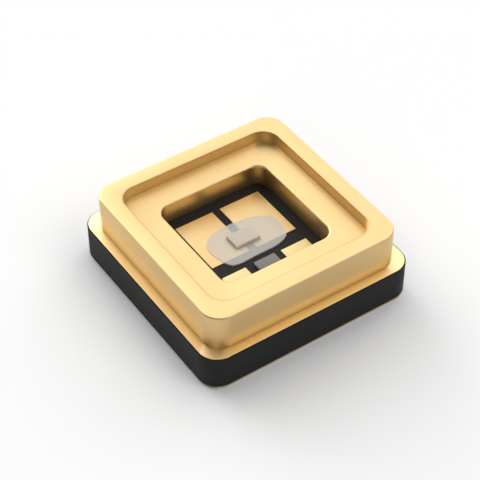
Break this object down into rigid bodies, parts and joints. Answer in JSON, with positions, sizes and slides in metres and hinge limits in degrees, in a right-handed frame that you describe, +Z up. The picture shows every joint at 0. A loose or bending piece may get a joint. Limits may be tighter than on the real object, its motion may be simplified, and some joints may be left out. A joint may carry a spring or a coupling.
{
  "type": "uv led",
  "caption": "Square surface-mount UV LED: black ceramic base, gold stepped window frame, flip chip under a clear coat on gold pads, protection diode beside it.",
  "frame": {"origin": "middle of the underside of the solder pads, where the package rests on its board", "axes": "+Z up out of the window, +X along the solder strips, -Y towards the side of the protection diode"},
  "size_m": [0.0036, 0.0035, 0.0012],
  "materials": {
    "black_ceramic": "satin",
    "gold_plating": "satin",
    "floor_gold": "satin",
    "solder_gold": "satin",
    "bump_metal": "satin",
    "fired_metal": "matte",
    "chip": "satin",
    "diode": "satin",
    "coat": "satin"
  },
  "bodies": {
    "root": {"ceramic_base": "black_ceramic", "seal_ring": "gold_plating", "frame": "gold_plating", "chip_pad_left": "floor_gold", "chip_pad_right": "floor_gold", "diode_pad_left": "floor_gold", "diode_pad_right": "floor_gold", "chip_bump_left": "bump_metal", "chip_bump_right": "bump_metal", "led_chip": "chip", "chip_coat": "coat", "diode_bump_left": "bump_metal", "diode_bump_right": "bump_metal", "protection_diode": "diode", "feed_left": "fired_metal", "feed_right": "fired_metal", "solder_strip_front": "solder_gold", "solder_strip_back": "solder_gold", "thermal_pad": "solder_gold"}
  },
  "joints": []
}
